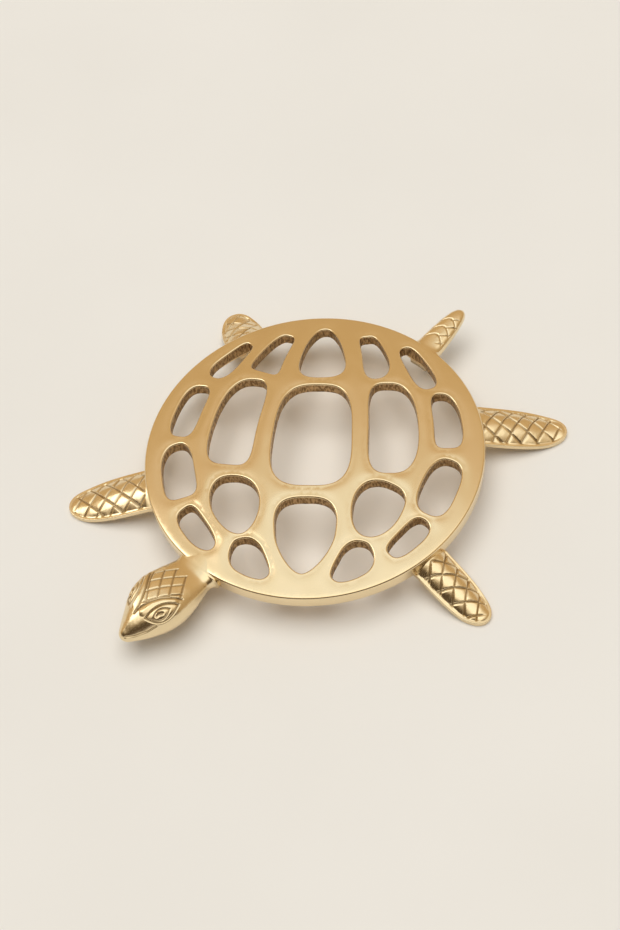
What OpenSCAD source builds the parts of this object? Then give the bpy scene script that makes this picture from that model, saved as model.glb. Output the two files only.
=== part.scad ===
// Turtle trivet in cast brass: a pierced, domed shell that stands on four flippers, with a head and a tail.
// The origin is on the shell's axis at table height, the head points along -Y and +Z is up.

/* [Shell] */
// Diameter of the shell over its rim
shell_d = 150; // [135:1:180]
// Height of the rim's underside above the table
rim_clearance = 12.5; // [10:0.5:18]
// Height of the rim's outer wall
rim_h = 6.5; // [6:0.5:9]
// Rise of the crown above the rim's top edge
dome_rise = 9; // [6:0.5:14]
// Thickness of the domed plate
plate_t = 6.3; // [5:0.1:7]
// Rounding of the rim's outer edges
rim_edge_r = 1.2; // [0.5:0.1:1.5]
// Width of the flat land under the rim, where the limbs are seated
land_w = 6; // [5.5:0.5:8]

/* [Openings in the shell] */
// Width of the plain band between the rim's edge and the field of openings
rim_band = 6; // [6:0.5:12]
// Width added to every rib between the openings
rib_extra = 0; // [-1:0.1:3]
// Turn of the pattern of openings from the line of head and tail
pattern_turn = 36; // [0:1:359]

/* [Flippers] */
// Width of the front left flipper
front_left_w = 17.5; // [15:0.5:26]
// Length of the front left flipper beyond the rim
front_left_len = 32; // [24:0.5:45]
// Width of the front right flipper
front_right_w = 21.5; // [15:0.5:26]
// Length of the front right flipper beyond the rim
front_right_len = 37.5; // [24:0.5:45]
// Width of the rear left flipper
rear_left_w = 20.5; // [15:0.5:26]
// Length of the rear left flipper beyond the rim
rear_left_len = 38.5; // [24:0.5:45]
// Width of the rear right flipper
rear_right_w = 20; // [15:0.5:26]
// Length of the rear right flipper beyond the rim
rear_right_len = 27.5; // [24:0.5:45]
// Height of a flipper's plain edge
flipper_edge_h = 2.2; // [1.5:0.1:3]
// Rise of a flipper's convex top above its edge
flipper_crown_h = 4.8; // [3:0.1:6]
// Length of the flat foot under a flipper's tip
foot_len = 8; // [5:0.5:12]

/* [Head] */
// Length of the head beyond the rim
head_len = 43.5; // [35:0.5:55]
// Width of the head at the cheeks
head_w = 26.6; // [20:0.2:34]
// Width of the neck at the rim
neck_w = 19; // [16:0.5:24]
// Rise of the brow above the rim's top edge
brow_rise = 5.2; // [2:0.1:8]
// Drop of the jaw below the neck's underside
jaw_drop = 3.2; // [1:0.1:5]
// Drop of the backs of neck and tail below the rim's top edge, where they meet it
root_drop = 0.2; // [0:0.1:1]

/* [Tail] */
// Length of the tail beyond the rim
tail_len = 27.5; // [20:0.5:36]
// Width of the tail at the rim
tail_w = 12.8; // [11:0.2:16]
// Thickness of the tail near its tip
tail_tip_t = 4; // [3:0.1:6]
// Drop of the tail's tip below the rim's top edge
tail_tip_drop = 2.5; // [1:0.1:4]
// Rise of the tail's back above the rim's top edge
tail_arch = 0.3; // [0:0.1:2]

/* [Joints] */
// Thickness of the lug by which each limb is screwed under the rim
lug_t = 3.3; // [3:0.1:5]
// Width of the lugs of the flippers
flipper_lug_w = 13; // [10:0.5:14]
// Width of the lug of the head
head_lug_w = 12; // [9:0.5:14]
// Width of the lug of the tail
tail_lug_w = 9; // [8:0.5:11]
// Distance of the screws from the rim's edge
screw_inset = 2.8; // [2.5:0.1:3]
// Diameter of the screws
screw_d = 2.5; // [2:0.1:2.6]
// Diameter of the screws' countersunk heads
screw_head_d = 4.7; // [4:0.1:4.8]
// Length of the screws with their heads
screw_len = 7.5; // [6:0.5:8]
// Width of the slots in the screws' heads
screw_slot_w = 0.6; // [0.4:0.1:0.8]
// Depth of the slots in the screws' heads
screw_slot_depth = 0.6; // [0.4:0.1:0.8]
// Gap between a limb's shoulder and the rim's wall
shoulder_gap = 0.1; // [0.05:0.05:0.3]
// Clearance round a screw's shank and head, on the diameter
screw_clearance = 0.2; // [0.1:0.05:0.4]

/* [Hidden] */

$fn = 72;
polished_brass = "#D8AE6A";
cast_brass = "#CFA35E";
screw_brass = "#C9A050";

// Heights and radii that follow from the sizes above
shell_r = shell_d / 2;
rim_top = rim_clearance + rim_h;
lug_bottom = rim_clearance - lug_t;
land_in_r = shell_r - land_w;
dome_r = (pow(shell_r, 2) + pow(dome_rise, 2)) / (2 * dome_rise);
dome_centre = rim_top + dome_rise - dome_r;
inner_dome_r = dome_r - plate_t;
overlap = 1;
// Reach of a limb's form in past its root, before it is cut to the rim's wall
root_reach = 3;

// Places on the rim: the angle of the root, and the angle that the limb points along
head_place = [-89.5, -93];
tail_place = [89, 92];
front_left_place = [-6.5, -4];
front_right_place = [-129.4, -137];
rear_left_place = [53, 44.5];
rear_right_place = [157, 151];
limb_places = [
    head_place, tail_place,
    front_left_place, front_right_place, rear_left_place, rear_right_place
];

// The field of openings reaches from the axis to the rim's plain band. A row gives the centre, half width
// and half length of one opening in hundredths of the field's radius, its turn in degrees, the fullness of
// its corners towards the tail, its taper, its bow in hundredths of the field's radius, and the fullness of
// its corners towards the head. The first three openings lie along the line of head and tail. The others lie
// in pairs to the left and right of it, and the two of a pair are no exact mirror images.
field_r = shell_r - rim_band;
hundredth = field_r / 100;
openings = [
    [-1, 74.2, 13.4, 22.6, 4, 2.3, -0.36, -0.3, 2.9],
    [0.3, 5.6, 25, 39.1, 2, 3.2, -0.08, -0.7, 3.2],
    [1.8, -67.3, 18.2, 25, 3, 3, 0.16, 0.9, 1.7],
    [31.1, 72.1, 7.9, 19.6, 16, 5, -0.28, 1.9, 2.4],
    [-32.2, 73.1, 8.3, 18, -21, 4.3, -0.33, -1.3, 6.5],
    [61.2, 66.1, 7, 19.6, 30, 3.1, -0.17, 0.2, 2.7],
    [-62, 68.3, 6.8, 17.8, -35, 4.3, -0.37, 0.3, 2.4],
    [47.1, 14.3, 15.5, 35.2, 6, 3.1, -0.05, 3.2, 3],
    [-47.7, 15.2, 14.8, 34.2, -7, 3.1, -0.07, -3.3, 4.2],
    [81.4, 24, 8.7, 21.5, 11, 2.9, -0.07, 2.2, 4],
    [-82.9, 25.2, 8.9, 20.8, -12, 3.3, -0.02, -1.3, 3.3],
    [45.8, -42.5, 19.5, 15.1, 72, 1.9, 0.03, -4.3, 2.4],
    [-43.9, -44.5, 20.8, 15, -65, 2.2, -0.24, 2.5, 1.8],
    [82.5, -26.5, 10.7, 20.8, -17, 2.6, -0.02, -0.4, 2.8],
    [-83.3, -21.8, 10.5, 20.7, 15, 2.5, -0.03, -0.9, 4.1],
    [65.4, -63.6, 6.7, 15.7, -39, 2.6, 0.12, 0.7, 3.2],
    [-65.3, -63.6, 7.2, 17.4, 39, 3.2, 0.05, -1, 2.2],
    [32.3, -82.7, 9.8, 15.2, -39, 1.7, 0.43, 1.3, 2.8],
    [-29.2, -83.7, 9.9, 15.7, 44, 1.6, 0.43, -1.1, 2.6]
];
outline_points = 44;

// A value raised to a power with its sign kept
function signed_power(v, power) = sign(v) * pow(abs(v), power);

// Outline of one opening about its own centre
function opening_outline(o) = [
    for (i = [0 : outline_points - 1])
        let (
            t = 360 * i / outline_points,
            fullness = sin(t) < 0 ? o[8] : o[5],
            across = signed_power(cos(t), 2 / fullness),
            along = signed_power(sin(t), 2 / fullness),
            u = (o[2] * hundredth - rib_extra / 2) * across * (1 + o[6] * along)
                + o[7] * hundredth * (1 - along * along),
            v = (o[3] * hundredth - rib_extra / 2) * along
        )
        [u * cos(o[4]) - v * sin(o[4]), u * sin(o[4]) + v * cos(o[4])]
];

// Height of a dome of radius r at a distance from the axis
function dome_height(r, distance) = dome_centre + sqrt(r * r - distance * distance);

// Half section of the solid shell. The underside never sinks below the land under the rim.
function shell_section() =
    let (
        dome_steps = 24,
        edge_steps = 5,
        least_step = 0.001,
        edge_in = shell_r - rim_edge_r,
        crown_line = [
            for (i = [0 : dome_steps])
                let (x = edge_in * i / dome_steps)
                [x, dome_height(dome_r, x)]
        ],
        shoulder = dome_height(dome_r, edge_in) - rim_edge_r,
        top_edge = [
            for (i = [1 : edge_steps])
                let (a = 90 - 90 * i / edge_steps)
                [edge_in + rim_edge_r * cos(a), shoulder + rim_edge_r * sin(a)]
        ],
        bottom_edge = [
            for (i = [0 : edge_steps])
                let (a = -90 * i / edge_steps)
                [edge_in + rim_edge_r * cos(a), rim_clearance + rim_edge_r + rim_edge_r * sin(a)]
        ],
        hollow = [
            for (i = [dome_steps : -1 : 0])
                let (x = land_in_r * i / dome_steps)
                [x, max(rim_clearance + (dome_steps - i) * least_step, dome_height(inner_dome_r, x))]
        ]
    )
    concat(crown_line, top_edge, bottom_edge, [[land_in_r, rim_clearance]], hollow);

// Cutter of one opening, straight down through the shell
module opening_cutter(o) {
    translate([o[0] * hundredth, o[1] * hundredth, rim_clearance - overlap])
        linear_extrude(rim_h + dome_rise + 2 * overlap)
            polygon(opening_outline(o));
}

// Everything placed at the centre of a limb's screw, at table height
module at_screw(place) {
    rotate([0, 0, place[0]])
        translate([shell_r - screw_inset, 0, 0])
            children();
}

// Everything placed in a limb's own frame: its root on the rim's edge, its length along +X
module at_root(place) {
    rotate([0, 0, place[0]])
        translate([shell_r, 0, 0])
            rotate([0, 0, place[1] - place[0]])
                children();
}

// Solid between rings of points that all have the same count, given from root to tip
module loft(rings) {
    count = len(rings[0]);
    last = (len(rings) - 1) * count;
    sides = [
        for (i = [0 : len(rings) - 2], j = [0 : count - 1])
            let (
                a = i * count + j,
                b = i * count + (j + 1) % count,
                c = b + count,
                d = a + count
            )
            each [[a, d, c], [a, c, b]]
    ];
    root_face = [for (j = [0 : count - 1]) j];
    tip_face = [for (j = [count - 1 : -1 : 0]) last + j];
    polyhedron([for (ring = rings) each ring], concat(sides, [root_face, tip_face]), convexity = 6);
}

// Flat tongue under the rim, with a concave end that follows the shell's axis
module lug(place, width) {
    difference() {
        rotate([0, 0, place[0]])
            translate([0, -width / 2, lug_bottom])
                cube([shell_r + overlap / 2, width, lug_t]);
        translate([0, 0, lug_bottom - overlap])
            cylinder(r = land_in_r, h = lug_t + 2 * overlap);
    }
}

// A limb made of its form and its lug, cut to the rim's wall and drilled for its screw
module fitted_limb(place, lug_w) {
    difference() {
        union() {
            children();
            lug(place, lug_w);
        }
        translate([0, 0, rim_clearance])
            cylinder(r = shell_r + shoulder_gap, h = rim_h + dome_rise + brow_rise);
        at_screw(place) {
            translate([0, 0, lug_bottom - overlap])
                cylinder(d = screw_d + screw_clearance, h = lug_t + 2 * overlap);
            translate([0, 0, lug_bottom])
                cylinder(d1 = screw_head_d + screw_clearance, d2 = screw_d + screw_clearance,
                         h = (screw_head_d - screw_d) / 2);
        }
    }
}

// Half width of a leaf outline at a share of its length, as a share of the half width
leaf_tip_power = 3.2;
leaf_side_power = 2.2;
function leaf(share) = pow(1 - pow(share, leaf_tip_power), 1 / leaf_side_power);

// Section of a flipper: flat below, an upright edge and a convex top
function flipper_ring(x, half_w, bottom, crown) =
    let (top_steps = 12)
    concat(
        [[x, -half_w, bottom], [x, half_w, bottom]],
        [
            for (i = [0 : top_steps])
                let (a = 180 * i / top_steps)
                [x, half_w * cos(a), bottom + flipper_edge_h + crown * sin(a)]
        ]
    );

// A flipper from under the rim down to its flat foot
module flipper(place, length, width) {
    steps = 16;
    tip_share = 0.997;
    crown_power = 4;
    slope_len = length - foot_len;
    rings = [
        for (i = [0 : steps])
            let (
                share = tip_share * (1 - pow(1 - i / steps, 2)),
                x = share * length,
                bottom = lug_bottom * max(0, 1 - x / slope_len),
                crown = flipper_crown_h * sqrt(1 - pow(share, crown_power))
            )
            flipper_ring(x, width / 2 * leaf(share), bottom, crown)
    ];
    root_ring = flipper_ring(-root_reach, width / 2, lug_bottom, flipper_crown_h);
    fitted_limb(place, flipper_lug_w)
        at_root(place)
            loft(concat([root_ring], rings));
}

// Value of column k of a table at x, on a smooth curve through the table's rows
function slope(rows, i, k) =
    let (
        before = rows[max(i - 1, 0)],
        after = rows[min(i + 1, len(rows) - 1)]
    )
    (after[k] - before[k]) / (after[0] - before[0]);
function smooth_at(rows, x, k, i = 0) =
    i < len(rows) - 2 && x > rows[i + 1][0]
        ? smooth_at(rows, x, k, i + 1)
        : let (
              step = rows[i + 1][0] - rows[i][0],
              t = (x - rows[i][0]) / step,
              t2 = t * t,
              t3 = t2 * t
          )
          (2 * t3 - 3 * t2 + 1) * rows[i][k] + (t3 - 2 * t2 + t) * step * slope(rows, i, k)
              + (3 * t2 - 2 * t3) * rows[i + 1][k] + (t3 - t2) * step * slope(rows, i + 1, k);

// Rounded section of a head or tail between two heights
function round_ring(x, half_w, top, bottom, fullness = 2.2) =
    let (
        ring_points = 24,
        middle = (top + bottom) / 2,
        half_h = (top - bottom) / 2
    )
    [
        for (j = [0 : ring_points - 1])
            let (a = 360 * j / ring_points)
            [
                x,
                half_w * signed_power(cos(a), 2 / fullness),
                middle + half_h * signed_power(sin(a), 2 / fullness)
            ]
    ];

// Rounded limb along the smooth curves through its rows of distance, half width, top and bottom. Its rings
// crowd towards the tip.
module round_limb(place, rows, lug_w) {
    steps = 22;
    crowding = 1.5;
    start = rows[0][0];
    reach = rows[len(rows) - 1][0] - start;
    fitted_limb(place, lug_w)
        at_root(place)
            loft([
                for (i = [0 : steps])
                    let (x = start + reach * (1 - pow(1 - i / steps, crowding)))
                    round_ring(x, smooth_at(rows, x, 1), smooth_at(rows, x, 2), smooth_at(rows, x, 3))
            ]);
}

// Countersunk screw with a slotted head, seen from below
module limb_screw(place) {
    head_h = (screw_head_d - screw_d) / 2;
    at_screw(place)
        translate([0, 0, lug_bottom])
            difference() {
                union() {
                    cylinder(d = screw_d, h = screw_len);
                    cylinder(d1 = screw_head_d, d2 = screw_d, h = head_h);
                }
                translate([-screw_head_d, -screw_slot_w / 2, -overlap])
                    cube([2 * screw_head_d, screw_slot_w, overlap + screw_slot_depth]);
            }
}

module shell() {
    thread_depth = screw_len - lug_t + screw_clearance;
    color(polished_brass)
        difference() {
            rotate_extrude($fn = 180)
                polygon(shell_section());
            rotate([0, 0, pattern_turn])
                for (o = openings)
                    opening_cutter(o);
            for (place = limb_places)
                at_screw(place)
                    translate([0, 0, rim_clearance - overlap])
                        cylinder(d = screw_d + screw_clearance / 2, h = thread_depth + overlap);
        }
}

module head() {
    half_neck = neck_w / 2;
    half_head = head_w / 2;
    rows = [
        [-root_reach, half_neck, rim_top - root_drop, lug_bottom + root_drop],
        [0.09 * head_len, half_neck + 0.19 * (half_head - half_neck), rim_top + 0.12 * brow_rise,
            lug_bottom - 0.12 * jaw_drop],
        [0.27 * head_len, half_neck + 0.74 * (half_head - half_neck), rim_top + 0.7 * brow_rise,
            lug_bottom - 0.7 * jaw_drop],
        [0.455 * head_len, half_head, rim_top + brow_rise, lug_bottom - jaw_drop],
        [0.635 * head_len, 0.89 * half_head, rim_top + 0.85 * brow_rise, lug_bottom - 0.8 * jaw_drop],
        [0.82 * head_len, 0.58 * half_head, rim_top + 0.25 * brow_rise, lug_bottom - 0.3 * jaw_drop],
        [0.93 * head_len, 0.31 * half_head, rim_top - 0.28 * rim_h, lug_bottom + 0.18 * rim_h],
        [0.98 * head_len, 0.165 * half_head, rim_top - 0.49 * rim_h, lug_bottom + 0.37 * rim_h],
        [head_len, 0.06 * half_head, rim_top - 0.68 * rim_h, lug_bottom + 0.55 * rim_h]
    ];
    color(cast_brass)
        round_limb(head_place, rows, head_lug_w);
}

module tail() {
    half_tail = tail_w / 2;
    tip_middle = rim_top - tail_tip_drop;
    rows = [
        [-root_reach, half_tail, rim_top - root_drop, lug_bottom + 0.4 * lug_t],
        [0.15 * tail_len, 0.97 * half_tail, rim_top, lug_bottom + 0.65 * lug_t],
        [0.5 * tail_len, 0.84 * half_tail, rim_top + tail_arch, rim_clearance],
        [0.8 * tail_len, 0.62 * half_tail, rim_top + tail_arch, tip_middle - 0.7 * tail_tip_t],
        [0.94 * tail_len, 0.38 * half_tail, tip_middle + 0.5 * tail_tip_t, tip_middle - 0.5 * tail_tip_t],
        [tail_len, 0.08 * half_tail, tip_middle + 0.15 * tail_tip_t, tip_middle - 0.15 * tail_tip_t]
    ];
    color(cast_brass)
        round_limb(tail_place, rows, tail_lug_w);
}

module front_left_flipper() {
    color(cast_brass)
        flipper(front_left_place, front_left_len, front_left_w);
}

module front_right_flipper() {
    color(cast_brass)
        flipper(front_right_place, front_right_len, front_right_w);
}

module rear_left_flipper() {
    color(cast_brass)
        flipper(rear_left_place, rear_left_len, rear_left_w);
}

module rear_right_flipper() {
    color(cast_brass)
        flipper(rear_right_place, rear_right_len, rear_right_w);
}

module head_screw() {
    color(screw_brass)
        limb_screw(head_place);
}

module tail_screw() {
    color(screw_brass)
        limb_screw(tail_place);
}

module front_left_screw() {
    color(screw_brass)
        limb_screw(front_left_place);
}

module front_right_screw() {
    color(screw_brass)
        limb_screw(front_right_place);
}

module rear_left_screw() {
    color(screw_brass)
        limb_screw(rear_left_place);
}

module rear_right_screw() {
    color(screw_brass)
        limb_screw(rear_right_place);
}

shell();
head();
tail();
front_left_flipper();
front_right_flipper();
rear_left_flipper();
rear_right_flipper();
head_screw();
tail_screw();
front_left_screw();
front_right_screw();
rear_left_screw();
rear_right_screw();
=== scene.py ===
"""Looks of the turtle trivet: a pierced brass dome on hatched flippers, with a carved head and a tail."""
import math

import bmesh
import bpy
import numpy as np
from mathutils import Matrix, Vector
from mathutils.geometry import delaunay_2d_cdt


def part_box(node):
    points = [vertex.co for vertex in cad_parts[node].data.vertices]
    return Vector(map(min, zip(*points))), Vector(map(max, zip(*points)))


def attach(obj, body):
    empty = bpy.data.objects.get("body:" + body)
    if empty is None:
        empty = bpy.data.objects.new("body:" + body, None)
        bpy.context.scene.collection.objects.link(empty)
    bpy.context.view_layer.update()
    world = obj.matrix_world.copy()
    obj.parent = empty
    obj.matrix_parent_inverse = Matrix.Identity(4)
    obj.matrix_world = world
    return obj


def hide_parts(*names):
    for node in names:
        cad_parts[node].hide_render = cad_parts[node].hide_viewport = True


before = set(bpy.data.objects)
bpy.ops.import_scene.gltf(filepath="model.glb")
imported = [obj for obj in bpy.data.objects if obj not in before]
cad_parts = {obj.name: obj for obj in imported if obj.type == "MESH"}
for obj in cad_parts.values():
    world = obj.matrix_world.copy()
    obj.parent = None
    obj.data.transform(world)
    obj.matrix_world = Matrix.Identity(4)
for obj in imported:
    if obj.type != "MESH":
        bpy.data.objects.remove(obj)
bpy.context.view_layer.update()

# Sizes in millimetres, with the frame's own where it gives them
MM = 0.001
shell_low, shell_high = (np.array(corner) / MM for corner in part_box("shell"))
SHELL_R = (shell_high[0] - shell_low[0]) / 2
RIM_BOTTOM = shell_low[2]
RIM_TOP = 19.0
RIM_EDGE_R = 1.2
DOME_RISE = 9.0
DOME_R = (SHELL_R ** 2 + DOME_RISE ** 2) / (2 * DOME_RISE)
DOME_Z = RIM_TOP + DOME_RISE - DOME_R
PLATE_T = 6.3
HOLLOW_R = DOME_R - PLATE_T
LAND_W = 6.0
LAND_IN_R = SHELL_R - LAND_W
LUG_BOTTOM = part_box("head_screw")[0][2] / MM
SCREW_INSET = 2.8
SCREW_R = SHELL_R - SCREW_INSET

# Openings in the shell. A row gives the centre, half width and half length of one opening in hundredths of
# the field's radius, its turn in degrees, the fullness of its corners towards the tail, its taper, its bow
# in hundredths, and the fullness of its corners towards the head.
FIELD_R = LAND_IN_R
PATTERN_TURN = 36
OPENINGS = [
    (-1, 74.2, 13.4, 22.6, 4, 2.3, -0.36, -0.3, 2.9),
    (0.3, 5.6, 25, 39.1, 2, 3.2, -0.08, -0.7, 3.2),
    (1.8, -67.3, 18.2, 25, 3, 3, 0.16, 0.9, 1.7),
    (31.1, 72.1, 7.9, 19.6, 16, 5, -0.28, 1.9, 2.4),
    (-32.2, 73.1, 8.3, 18, -21, 4.3, -0.33, -1.3, 6.5),
    (61.2, 66.1, 7, 19.6, 30, 3.1, -0.17, 0.2, 2.7),
    (-62, 68.3, 6.8, 17.8, -35, 4.3, -0.37, 0.3, 2.4),
    (47.1, 14.3, 15.5, 35.2, 6, 3.1, -0.05, 3.2, 3),
    (-47.7, 15.2, 14.8, 34.2, -7, 3.1, -0.07, -3.3, 4.2),
    (81.4, 24, 8.7, 21.5, 11, 2.9, -0.07, 2.2, 4),
    (-82.9, 25.2, 8.9, 20.8, -12, 3.3, -0.02, -1.3, 3.3),
    (45.8, -42.5, 19.5, 15.1, 72, 1.9, 0.03, -4.3, 2.4),
    (-43.9, -44.5, 20.8, 15, -65, 2.2, -0.24, 2.5, 1.8),
    (82.5, -26.5, 10.7, 20.8, -17, 2.6, -0.02, -0.4, 2.8),
    (-83.3, -21.8, 10.5, 20.7, 15, 2.5, -0.03, -0.9, 4.1),
    (65.4, -63.6, 6.7, 15.7, -39, 2.6, 0.12, 0.7, 3.2),
    (-65.3, -63.6, 7.2, 17.4, 39, 3.2, 0.05, -1, 2.2),
    (32.3, -82.7, 9.8, 15.2, -39, 1.7, 0.43, 1.3, 2.8),
    (-29.2, -83.7, 9.9, 15.7, 44, 1.6, 0.43, -1.1, 2.6),
]

# Limbs: the angle of the root on the rim and the angle that the limb points along
PLACES = {
    "head": (-89.5, -93),
    "tail": (89, 92),
    "front_left": (-6.5, -4),
    "front_right": (-129.4, -137),
    "rear_left": (53, 44.5),
    "rear_right": (157, 151),
}


# Small helpers

RIPPLE_WAVES = 8


def signed_power(values, exponent):
    """Values raised to a power with their signs kept."""
    return np.sign(values) * np.abs(values) ** exponent


def ease(low, high, values):
    """A smooth step from 0 at low to 1 at high."""
    t = np.clip((values - low) / (high - low), 0, 1)
    return t * t * (3 - 2 * t)


def turned(points, degrees):
    """Plan points turned about the origin."""
    c, s = math.cos(math.radians(degrees)), math.sin(math.radians(degrees))
    return points @ np.array([[c, s], [-s, c]])


def towards(azimuth, elevation):
    """Unit direction at an azimuth and an elevation in degrees."""
    a, e = math.radians(azimuth), math.radians(elevation)
    return Vector((math.cos(a) * math.cos(e), math.sin(a) * math.cos(e), math.sin(e)))


def ripple(points, wavelength, seed):
    """A smooth, uneven value between -1 and 1 in space, the same on every run."""
    draw = np.random.default_rng(seed)
    waves = draw.normal(size=(RIPPLE_WAVES, 3)) * (2 * math.pi / wavelength)
    phases = draw.uniform(0, 2 * math.pi, RIPPLE_WAVES)
    return np.sin(points @ waves.T + phases).mean(-1)


def smooth_rows(rows, x):
    """Columns of a table at the stations x, on smooth curves through the table's rows."""
    rows = np.array(rows, float)
    last = len(rows) - 1
    before = np.maximum(np.arange(last + 1) - 1, 0)
    after = np.minimum(np.arange(last + 1) + 1, last)
    slopes = (rows[after] - rows[before]) / (rows[after, :1] - rows[before, :1])
    i = np.clip(np.searchsorted(rows[:, 0], x) - 1, 0, last - 1)
    step = (rows[i + 1, 0] - rows[i, 0])[:, None]
    t = (x - rows[i, 0])[:, None] / step
    start = (2 * t ** 3 - 3 * t ** 2 + 1) * rows[i] + (t ** 3 - 2 * t ** 2 + t) * step * slopes[i]
    end = (3 * t ** 2 - 2 * t ** 3) * rows[i + 1] + (t ** 3 - t ** 2) * step * slopes[i + 1]
    return (start + end)[:, 1:].T


def arc(centre, radius, start, end, steps):
    """Points of a round corner in a section, from one angle to another."""
    angles = np.radians(np.linspace(start, end, steps + 1))
    return [(centre[0] + radius * math.cos(a), centre[1] + radius * math.sin(a)) for a in angles]


class Surface:
    """Gathers the points and faces of one mesh, a finish for each face and a groove share for each point."""

    def __init__(self):
        self.points = []
        self.grooves = []
        self.faces = []
        self.finishes = []
        self.count = 0

    def add(self, points, grooves=0.0):
        """Adds points and returns their numbers in the same arrangement."""
        points = np.asarray(points, float)
        flat = points.reshape(-1, 3)
        self.points.append(flat)
        self.grooves.append(np.broadcast_to(grooves, points.shape[:-1]).reshape(-1))
        numbers = np.arange(self.count, self.count + len(flat)).reshape(points.shape[:-1])
        self.count += len(flat)
        return numbers

    def fill(self, faces, finish=0):
        """Adds faces, each a list of point numbers."""
        faces = np.asarray(faces).tolist()
        self.faces.extend(faces)
        self.finishes.extend([finish] * len(faces))

    def strip(self, rows, closed=False, finish=0):
        """Adds the quads between neighbouring rows of point numbers."""
        rows = np.asarray(rows)
        if closed:
            rows = np.concatenate([rows, rows[:, :1]], 1)
        quads = np.stack([rows[:-1, :-1], rows[:-1, 1:], rows[1:, 1:], rows[1:, :-1]], -1)
        self.fill(quads.reshape(-1, 4), finish)

    def fan(self, row, tip, closed=False, finish=0):
        """Adds the triangles between a row of point numbers and one point."""
        row = list(row) + ([row[0]] if closed else [])
        self.fill([(a, b, tip) for a, b in zip(row[:-1], row[1:])], finish)


SHARP_ANGLE = 55


def make_object(surface, name, finishes):
    """Turns a surface into an object, shaded smooth but for its sharp edges."""
    mesh = bpy.data.meshes.new(name)
    mesh.from_pydata((np.concatenate(surface.points) * MM).tolist(), [], surface.faces)
    for finish in finishes:
        mesh.materials.append(finish)
    mesh.polygons.foreach_set("material_index", surface.finishes)
    shading = bmesh.new()
    shading.from_mesh(mesh)
    bmesh.ops.recalc_face_normals(shading, faces=shading.faces)
    shading.to_mesh(mesh)
    shading.free()
    mesh.polygons.foreach_set("use_smooth", [True] * len(mesh.polygons))
    mesh.set_sharp_from_angle(angle=math.radians(SHARP_ANGLE))
    grooves = mesh.attributes.new("groove", "FLOAT", "POINT")
    grooves.data.foreach_set("value", np.concatenate(surface.grooves).astype(np.float32))
    made = bpy.data.objects.new(name, mesh)
    bpy.context.scene.collection.objects.link(made)
    return made


def make_piece(surface, name, node, finishes):
    """Turns a surface into a piece that stands for a node of the frame."""
    piece = make_object(surface, name, finishes)
    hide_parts(node)
    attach(piece, "root")


# Plan regions with holes

INSIDE_ONLY = 1
SAME_POINT = 1e-7


def inside(points, ring):
    """Which of the plan points lie inside a closed ring."""
    ends = np.roll(ring, -1, 0)
    x, y = points[:, :1], points[:, 1:]
    crosses = (ring[:, 1] > y) != (ends[:, 1] > y)
    rise = np.where(ends[:, 1] == ring[:, 1], 1, ends[:, 1] - ring[:, 1])
    at = ring[:, 0] + (y - ring[:, 1]) * (ends[:, 0] - ring[:, 0]) / rise
    return ((crosses & (x < at)).sum(1) % 2).astype(bool)


def even_points(outer, holes, spacing):
    """Evenly spaced plan points in a region, clear of its edges."""
    reach = np.abs(outer).max()
    rows = np.arange(-reach, reach, spacing * math.sqrt(3) / 2)
    points = np.array([
        (x + spacing / 2 * (k % 2), y)
        for k, y in enumerate(rows)
        for x in np.arange(-reach, reach, spacing)
    ])
    keep = inside(points, outer)
    for ring in [outer] + holes:
        gaps = np.linalg.norm(points[:, None] - ring[None], axis=2).min(1)
        keep &= gaps > spacing / 2
    for ring in holes:
        keep &= ~inside(points, ring)
    return points[keep]


def region(outer, holes, spacing):
    """Plan points of a region, those of its edges first, and its triangles. No spacing gives edges alone."""
    rings = [outer] + holes
    points = np.concatenate(rings + ([even_points(outer, holes, spacing)] if spacing else []))
    edges = []
    start = 0
    for ring in rings:
        numbers = start + np.arange(len(ring))
        edges += np.stack([numbers, np.roll(numbers, -1)], 1).tolist()
        start += len(ring)
    made = delaunay_2d_cdt([Vector(p) for p in points], edges, [], INSIDE_ONLY, SAME_POINT)
    origin = [o[0] for o in made[3]]
    triangles = np.array([[origin[v] for v in face] for face in made[2]])
    middles = points[triangles].mean(1)
    keep = inside(middles, outer)
    for ring in holes:
        keep &= ~inside(middles, ring)
    return points, triangles[keep]


def edge_rows(numbers, outer, holes):
    """Point numbers along a region's outer edge and along each of its holes, as a list of rows."""
    ends = np.cumsum([len(ring) for ring in [outer] + holes])
    return np.split(numbers[:ends[-1]], ends[:-1])


# Shell

EDGE_ROUND = 0.8
EDGE_SUPPORT = 0.2
EDGE_STEPS = 6
UNDER_ROUND = 0.4
LAND_GAP = 0.3
OUTLINE_STEPS = 1440
OPENING_STEP = 0.9
WALL_STEPS = 7
TOP_SPACING = 1.5
UNDER_SPACING = 2.25
SHOULDER_DROP = 0.42
SHOULDER_REACH = 2.3
RIM_STEPS = 288
RIM_EDGE_STEPS = 7
RIM_SIDE_START = 0.4
RIM_FOOT_R = 0.84
RIM_FOOT_STEPS = 5
LAND_STEP_R = 0.4
LAND_STEP_STEPS = 3
POLISHED, WALL, UNDER = 0, 1, 2

# Unevenness of the cast faces: height, wavelength and seed, and how far from the edge it sets in
TOP_WAVE = (0.05, 24, 9)
TOP_WAVE_START, TOP_WAVE_FULL = 1.5, 6.0
UNDER_WAVE = (0.12, 7, 5)
UNDER_WAVE_FULL = 3.0
WALL_WAVES = [(0.1, 5, 3), (0.04, 1.6, 4)]


def shoulder(plan, rings):
    """Drop of the top near the openings' edges, added up so that the ribs between them stay round."""
    gaps = np.array([np.linalg.norm(plan[:, None] - ring[None], axis=2).min(1) for ring in rings])
    return SHOULDER_DROP * np.exp(-((gaps / SHOULDER_REACH) ** 2)).sum(0)


def dome_height(plan, radius):
    """Height of a dome of a radius over plan points."""
    return DOME_Z + np.sqrt(radius ** 2 - (plan ** 2).sum(-1))


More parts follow.
